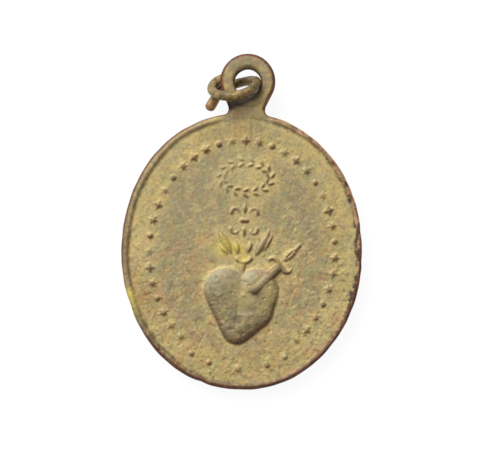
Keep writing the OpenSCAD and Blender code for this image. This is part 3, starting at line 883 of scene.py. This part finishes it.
# Materials.
class Graph:
    """Node tree of a material whose colour is laid on in coats."""

    def __init__(self, name, ground):
        self.mat = bpy.data.materials.new(name)
        self.mat.use_nodes = True
        self.nodes, self.links = self.mat.node_tree.nodes, self.mat.node_tree.links
        self.bsdf = self.nodes["Principled BSDF"]
        self.coord = self.nodes.new("ShaderNodeTexCoord").outputs["Object"]
        self.colour = ground
        self.attributes = {}

    def wire(self, value, socket):
        if isinstance(value, bpy.types.NodeSocket):
            self.links.new(value, socket)
        elif socket.type == "RGBA":
            socket.default_value = (*value, 1)
        else:
            socket.default_value = value

    def mask(self, name):
        """Number that paint has stored on the vertices."""
        if name not in self.attributes:
            n = self.nodes.new("ShaderNodeAttribute")
            n.attribute_name = name
            self.attributes[name] = n.outputs["Fac"]
        return self.attributes[name]

    def noise(self, grain_mm, detail=4, rough=0.55, stretch=1.0, toward=50):
        """Noise with grains of a size, drawn out by a stretch toward a bearing in degrees."""
        n = self.nodes.new("ShaderNodeTexNoise")
        n.inputs["Scale"].default_value = 1 / (grain_mm * MM)
        n.inputs["Detail"].default_value = detail
        n.inputs["Roughness"].default_value = rough
        turn = self.nodes.new("ShaderNodeMapping")
        turn.vector_type = "TEXTURE"
        turn.inputs["Rotation"].default_value = (0, 0, radians(toward))
        turn.inputs["Scale"].default_value = (stretch, 1, 1)
        self.links.new(self.coord, turn.inputs["Vector"])
        self.links.new(turn.outputs["Vector"], n.inputs["Vector"])
        return n.outputs["Fac"]

    def math(self, op, a, b):
        n = self.nodes.new("ShaderNodeMath")
        n.operation = op
        self.wire(a, n.inputs[0])
        self.wire(b, n.inputs[1])
        return n.outputs[0]

    def step(self, value, low, high, top=1.0):
        """Smooth rise from 0 at low to top at high."""
        n = self.nodes.new("ShaderNodeMapRange")
        n.interpolation_type = "SMOOTHSTEP"
        self.wire(value, n.inputs["Value"])
        n.inputs["From Min"].default_value = low
        n.inputs["From Max"].default_value = high
        n.inputs["To Max"].default_value = top
        return n.outputs["Result"]

    def coat(self, colour, amount, *names):
        """Lays a colour over the last one by an amount, held to the named masks."""
        for name in names:
            amount = self.math("MULTIPLY", self.mask(name), amount)
        n = self.nodes.new("ShaderNodeMix")
        n.data_type = "RGBA"
        self.wire(amount, n.inputs[0])
        self.wire(self.colour, n.inputs[6])
        self.wire(colour, n.inputs[7])
        self.colour = n.outputs[2]

    def less_on(self, name, amount, loss):
        """Amount that is smaller by a loss where a mask is full."""
        return self.math("SUBTRACT", amount, self.math("MULTIPLY", self.mask(name), loss))

    def bump(self, height, strength, distance_mm):
        n = self.nodes.new("ShaderNodeBump")
        n.inputs["Strength"].default_value = strength
        n.inputs["Distance"].default_value = distance_mm * MM
        self.links.new(height, n.inputs["Height"])
        self.links.new(n.outputs["Normal"], self.bsdf.inputs["Normal"])


def srgb(r, g, b):
    """Linear colour of an 8-bit sRGB one."""
    def lin(c):
        c /= 255
        return c / 12.92 if c <= 0.04045 else ((c + 0.055) / 1.055) ** 2.4
    return lin(r), lin(g), lin(b)


OCHRE = srgb(199, 177, 113)
GREY = srgb(156, 143, 107)
PALE = srgb(217, 196, 131)
OLIVE = srgb(126, 117, 90)
TAN = srgb(150, 126, 84)
BROWN = srgb(98, 62, 42)
UMBER = srgb(74, 56, 36)
INK = srgb(48, 36, 24)
RED = srgb(182, 132, 90)
GREEN = srgb(146, 144, 103)
RIM_TONE = srgb(158, 136, 98)
MAROON = srgb(98, 44, 28)
COPPER = srgb(216, 166, 124)
BRASS = srgb(212, 192, 96)
KHAKI = srgb(182, 160, 90)
GOLD = srgb(200, 176, 100)
MAUVE = srgb(160, 147, 117)
SMUDGE = srgb(150, 112, 76)
SLATE = srgb(134, 124, 98)
RUST = srgb(132, 84, 56)
MOSS = srgb(106, 96, 50)
LICHEN = srgb(112, 114, 88)
PEARL = srgb(188, 178, 148)


def ground_coats(g, broad, mid, streak):
    """Field and rim: greyer where rubbed, paler where clean, with dirt washed down from the eye and
    painted light at the foot of the neck.
    """
    g.coat(GREY, g.step(broad, 0.22, 0.54), "worn")
    g.coat(PALE, g.step(mid, 0.48, 0.66, 0.5))
    g.coat(OLIVE, g.step(mid, 0.5, 0.34, 0.4))
    g.coat(PALE, 0.85, "clean")
    g.coat(GREY, 0.45, "dull")
    g.coat(PALE, 0.75, "halo")
    g.coat(SMUDGE, g.step(mid, 0.3, 0.6, 0.75), "smudge")
    g.coat(GOLD, 0.35, "drip")
    # painted light at the foot of the neck, where the ring's shadow falls
    g.coat(PALE, 0.9, "neck")
    g.coat(SLATE, g.step(streak, 0.45, 0.62, 0.55), "drip")
    g.coat(TAN, 0.5, "top")
    g.coat(RIM_TONE, 0.9, "rim")


def mottling(g, tint, yellow, fine, speck, crumb):
    """Spots of the corroded skin, reddest in the lower half."""
    reddest = g.step(g.mask("lower"), -0.9, 1.0)
    g.coat(RED, g.math("MULTIPLY", g.step(tint, 0.46, 0.64, 0.6), reddest))
    g.coat(GREEN, g.step(tint, 0.53, 0.37, 0.6))
    g.coat(GOLD, g.step(yellow, 0.46, 0.66, 0.35))
    g.coat(MAUVE, g.step(yellow, 0.54, 0.34, 0.45))
    g.coat(OLIVE, g.step(yellow, 0.95, 0.3, 0.95), "heart")
    g.coat(PALE, g.step(fine, 0.52, 0.68, 0.4))
    g.coat(TAN, g.step(fine, 0.48, 0.34, 0.6))
    g.coat(RUST, g.step(speck, 0.6, 0.68, 0.7))
    g.coat(RUST, g.step(crumb, 0.6, 0.7, 0.6), "lower")


def relief_coats(g, fine):
    """Painted highlight and painted shade on the sides of what stands, with the bright metal, dirt and
    tones of the relief.
    """
    g.coat(BRASS, g.step(fine, 0.2, 0.55), "gilt")
    # painted highlight on the heart's side that faces the light
    g.coat(PEARL, 0.5, "heart_highlight")
    # painted highlight on the sides that face the light
    g.coat(PALE, g.less_on("heart", 0.35, 0.35), "lit_side")
    # painted shade on the sides turned from the light
    g.coat(BROWN, g.less_on("hilt", 0.8, 0.25), "shade_side")
    # painted shade and dirt on the heart's lower and right flank
    g.coat(BROWN, g.step(fine, 0.3, 0.6, 0.8), "flank")
    g.coat(BROWN, g.step(fine, 0.25, 0.55, 0.35), "hilt")
    g.coat(MAUVE, g.step(fine, 0.2, 0.5, 0.6), "petals")
    g.coat(BROWN, 0.55, "trace")
    g.coat(BRASS, 0.4, "gilt")


def heart_coats(g, tint, caked):
    """Grey and lichen-green skin of the heart, with its wound."""
    g.coat(SLATE, g.step(caked, 0.56, 0.66, 0.4), "heart")
    g.coat(SMUDGE, g.step(tint, 0.52, 0.68, 0.5), "heart")
    g.coat(LICHEN, g.step(tint, 0.48, 0.34, 0.5), "heart")
    g.coat(OCHRE, 0.6, "fair", "heart")
    g.coat(LICHEN, 0.35, "lobe", "heart")
    g.coat(UMBER, 0.75, "wound")


def rim_coats(g, mid, fine, caked):
    """Pits, border, rim and eye, with painted shade in the crease at the rim's foot and painted light on
    the neck's shoulders.
    """
    g.coat(BROWN, 0.6, "pits")
    # brown marks, with painted shade on the leaves of wreath and fleur-de-lis towards the lower right
    g.coat(BROWN, g.step(caked, 0.3, 0.6, 0.55), "marks")
    # painted shade in the crease at the foot of the rim
    g.coat(BROWN, g.step(caked, 0.3, 0.55, 0.4), "crease_shade")
    g.coat(UMBER, g.step(caked, 0.4, 0.58), "grime")
    g.coat(PALE, g.step(caked, 0.36, 0.28, 0.6), "rim")
    g.coat(COPPER, g.step(fine, 0.3, 0.55), "copper")
    g.coat(BRASS, g.step(mid, 0.2, 0.5), "bare")
    g.coat(GOLD, g.step(caked, 0.5, 0.62, 0.5), "eye")
    g.coat(SLATE, g.step(caked, 0.48, 0.36, 0.6), "eye")
    g.coat(LICHEN, g.step(fine, 0.3, 0.6, 0.6), "crown")
    # painted light on the shoulders of the neck
    g.coat(OCHRE, g.step(fine, 0.2, 0.5, 0.7), "shoulder")


def edge_coats(g, mid, yellow, fine, caked):
    """Red skin of the edge, fuller along its lower side as painted shade, painted shade on the wall of
    the hole, and the painted shadow of the ring with some dirt.
    """
    # red skin of the edge, fuller along the lower side as painted shade
    g.coat(MAROON, 1.0, "edge")
    g.coat(RUST, g.step(mid, 0.46, 0.62, 0.7), "edge")
    g.coat(UMBER, g.step(yellow, 0.5, 0.36, 0.7), "edge")
    g.coat(TAN, g.step(fine, 0.54, 0.68, 0.5), "edge")
    g.coat(COPPER, g.step(caked, 0.58, 0.46, 0.75), "bronzed")
    # painted shade on the wall of the hole
    g.coat(UMBER, 0.8, "hole_wall_shade")
    # painted shadow of the ring on the neck and the eye, with some dirt
    g.coat(INK, 0.95, "ring_shadow_and_dirt")


def medal_material():
    """Ochre patina in coats from the field to the edge, with painted highlights and painted shade among
    them.
    """
    g = Graph("medal_patina_and_painted_light", OCHRE)
    broad, mid, tint = g.noise(4.0, 3), g.noise(1.1, 5, 0.6), g.noise(1.0, 6, 0.7, 1.8)
    yellow, streak = g.noise(0.8, 5, 0.65), g.noise(0.35, 3, 0.5, 8, 90)
    fine, speck, caked = g.noise(0.3, 4, 0.65), g.noise(0.14, 3), g.noise(0.7, 5, 0.6)
    crumb = g.noise(0.42, 2, 0.5, 1.4, 20)
    ground_coats(g, broad, mid, streak)
    mottling(g, tint, yellow, fine, speck, crumb)
    relief_coats(g, fine)
    heart_coats(g, tint, caked)
    rim_coats(g, mid, fine, caked)
    edge_coats(g, mid, yellow, fine, caked)
    g.wire(g.colour, g.bsdf.inputs["Base Color"])
    g.bsdf.inputs["Metallic"].default_value = 0.15
    g.wire(g.math("ADD", g.math("MULTIPLY", mid, 0.25), 0.45), g.bsdf.inputs["Roughness"])
    g.bump(g.math("ADD", fine, g.math("MULTIPLY", speck, 0.4)), 0.4, 0.06)
    return g.mat


def ring_material():
    """Worn wire: khaki where it is rubbed, mossy and brown in the grain, red on its flanks, with painted
    shade where it lies in the eye and over its free end.
    """
    g = Graph("ring_patina_and_shade", TAN)
    mid, tint, fine = g.noise(0.9, 4), g.noise(0.5, 4), g.noise(0.2, 3)
    g.coat(KHAKI, g.step(mid, 0.4, 0.6))
    g.coat(MOSS, g.step(tint, 0.56, 0.4, 0.9))
    g.coat(RED, g.step(tint, 0.54, 0.7, 0.6))
    g.coat(BROWN, g.step(fine, 0.5, 0.66, 0.6))
    # painted shade where the wire lies in the eye and over its free end
    g.coat(UMBER, 0.6, "wire_shade")
    g.coat(RED, 0.6, "rubbed")
    g.coat(MAROON, 0.75, "flank")
    g.wire(g.colour, g.bsdf.inputs["Base Color"])
    g.bsdf.inputs["Metallic"].default_value = 0.2
    g.bsdf.inputs["Roughness"].default_value = 0.45
    g.bump(fine, 0.5, 0.04)
    return g.mat


medal.data.materials.append(medal_material())
ring.data.materials.append(ring_material())
for piece, node, slot in ((medal, "medal", "medal_brass"), (ring, "jump_ring", "ring_brass")):
    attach(piece, node)
    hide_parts(node)


# Stage, light and camera.
IMAGE_W, IMAGE_H = 500, 450       # the photograph's frame in pixels
OVAL_PX, OVAL_PY = 241.85, 251.37  # the middle of the oval in it
PX_PER_MM = 10.0
CAMERA_ROLL = radians(2)
LAMP_AIM = (0, 2, 0)
SKY = 0.28                        # strength of the white surroundings
FLOOR_GREY, FLOOR_GLOW = (0.1, 0.1, 0.1), (0.92, 0.92, 0.92)


def make_floor():
    """White table that touches the lowest wire of the ring and the lower rim."""
    size, gap, rim_inset = 600.0, 0.02, 0.5
    ring_low = ring_points[np.argmin(ring_points[:, 2])]
    rim_y, rim_z = -HALF_H + rim_inset, -(FIELD_Z + RIM_H)
    slope = (ring_low[2] - rim_z) / (ring_low[1] - rim_y)
    z = [rim_z + slope * (s * size - rim_y) - gap for s in (-1, 1)]
    corners = [(-size, -size, z[0]), (size, -size, z[0]), (size, size, z[1]), (-size, size, z[1])]
    floor = mesh_object("table", corners, [(0, 1, 2, 3)])
    g = Graph("white_table", FLOOR_GREY)
    g.wire(g.colour, g.bsdf.inputs["Base Color"])
    g.bsdf.inputs["Roughness"].default_value = 0.9
    path = g.nodes.new("ShaderNodeLightPath")
    glow = g.nodes.new("ShaderNodeEmission")
    add = g.nodes.new("ShaderNodeAddShader")
    seen = path.outputs["Is Camera Ray"]
    for ray in ("Is Glossy Ray", "Is Transmission Ray"):
        seen = g.math("MAXIMUM", seen, path.outputs[ray])
    g.wire(seen, glow.inputs["Strength"])
    g.wire(FLOOR_GLOW, glow.inputs["Color"])
    g.wire(g.bsdf.outputs[0], add.inputs[0])
    g.wire(glow.outputs[0], add.inputs[1])
    g.wire(add.outputs[0], g.nodes["Material Output"].inputs["Surface"])
    floor.data.materials.append(g.mat)


def area_light(name, place, power, size):
    """Square lamp at a place in millimetres, facing the medal."""
    data = bpy.data.lights.new(name, "AREA")
    data.energy, data.size = power, size * MM
    lamp = bpy.data.objects.new(name, data)
    bpy.context.scene.collection.objects.link(lamp)
    lamp.location = to_row(place)
    ray = Vector(to_row(LAMP_AIM)) - lamp.location
    lamp.rotation_euler = ray.to_track_quat("-Z", "Y").to_euler()


def make_world():
    world = bpy.data.worlds.new("studio")
    world.use_nodes = True
    back = world.node_tree.nodes["Background"]
    back.inputs["Color"].default_value = (1, 1, 1, 1)
    back.inputs["Strength"].default_value = SKY
    bpy.context.scene.world = world


def make_camera():
    """Looks straight down on the struck face; the medal is turned a little in the picture."""
    dx, dy = (IMAGE_W / 2 - OVAL_PX) / PX_PER_MM, (OVAL_PY - IMAGE_H / 2) / PX_PER_MM
    c, s = cos(CAMERA_ROLL), sin(CAMERA_ROLL)
    aim = (dx * c - dy * s, dx * s + dy * c)
    data = bpy.data.cameras.new("camera")
    data.lens, data.sensor_width = 100, 36
    distance = IMAGE_W / PX_PER_MM * data.lens / data.sensor_width
    cam = bpy.data.objects.new("camera", data)
    bpy.context.scene.collection.objects.link(cam)
    cam.location = to_row((aim[0], aim[1], distance))
    cam.rotation_euler = (0, 0, CAMERA_ROLL)
    data.clip_start, data.clip_end = 0.005, 10
    bpy.context.scene.camera = cam


make_floor()
area_light("key", (-170, 270, 250), 2.1, 320)
area_light("fill", (220, -120, 260), 0.08, 240)
make_world()
make_camera()
bpy.context.scene.view_settings.view_transform = "Standard"
